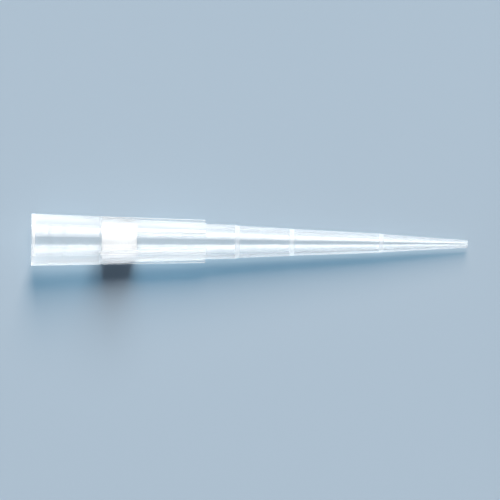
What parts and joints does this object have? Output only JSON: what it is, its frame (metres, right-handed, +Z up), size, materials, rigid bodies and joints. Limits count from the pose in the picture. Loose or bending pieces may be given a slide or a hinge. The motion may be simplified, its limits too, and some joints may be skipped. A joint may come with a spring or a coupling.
{
  "type": "filtered pipette tip",
  "caption": "Clear tapered laboratory pipette tip with a finned barrel, stepped volume marks and a white porous filter plug in its bore, lying on its side.",
  "frame": {"origin": "on the surface that the tip lies on, under the middle of its bounding box", "axes": "+X from the mouth to the point in plan, +Z up; the tip's own axis leans 2.56 degrees nose down from +X"},
  "size_m": [0.0592, 0.007, 0.0072],
  "materials": {
    "polypropylene": "moulded natural polypropylene, clear with a slight haze",
    "porous_polyethylene": "sintered, white and matte"
  },
  "bodies": {
    "root": {"tip_body": "polypropylene", "filter_plug": "porous_polyethylene"}
  },
  "joints": []
}
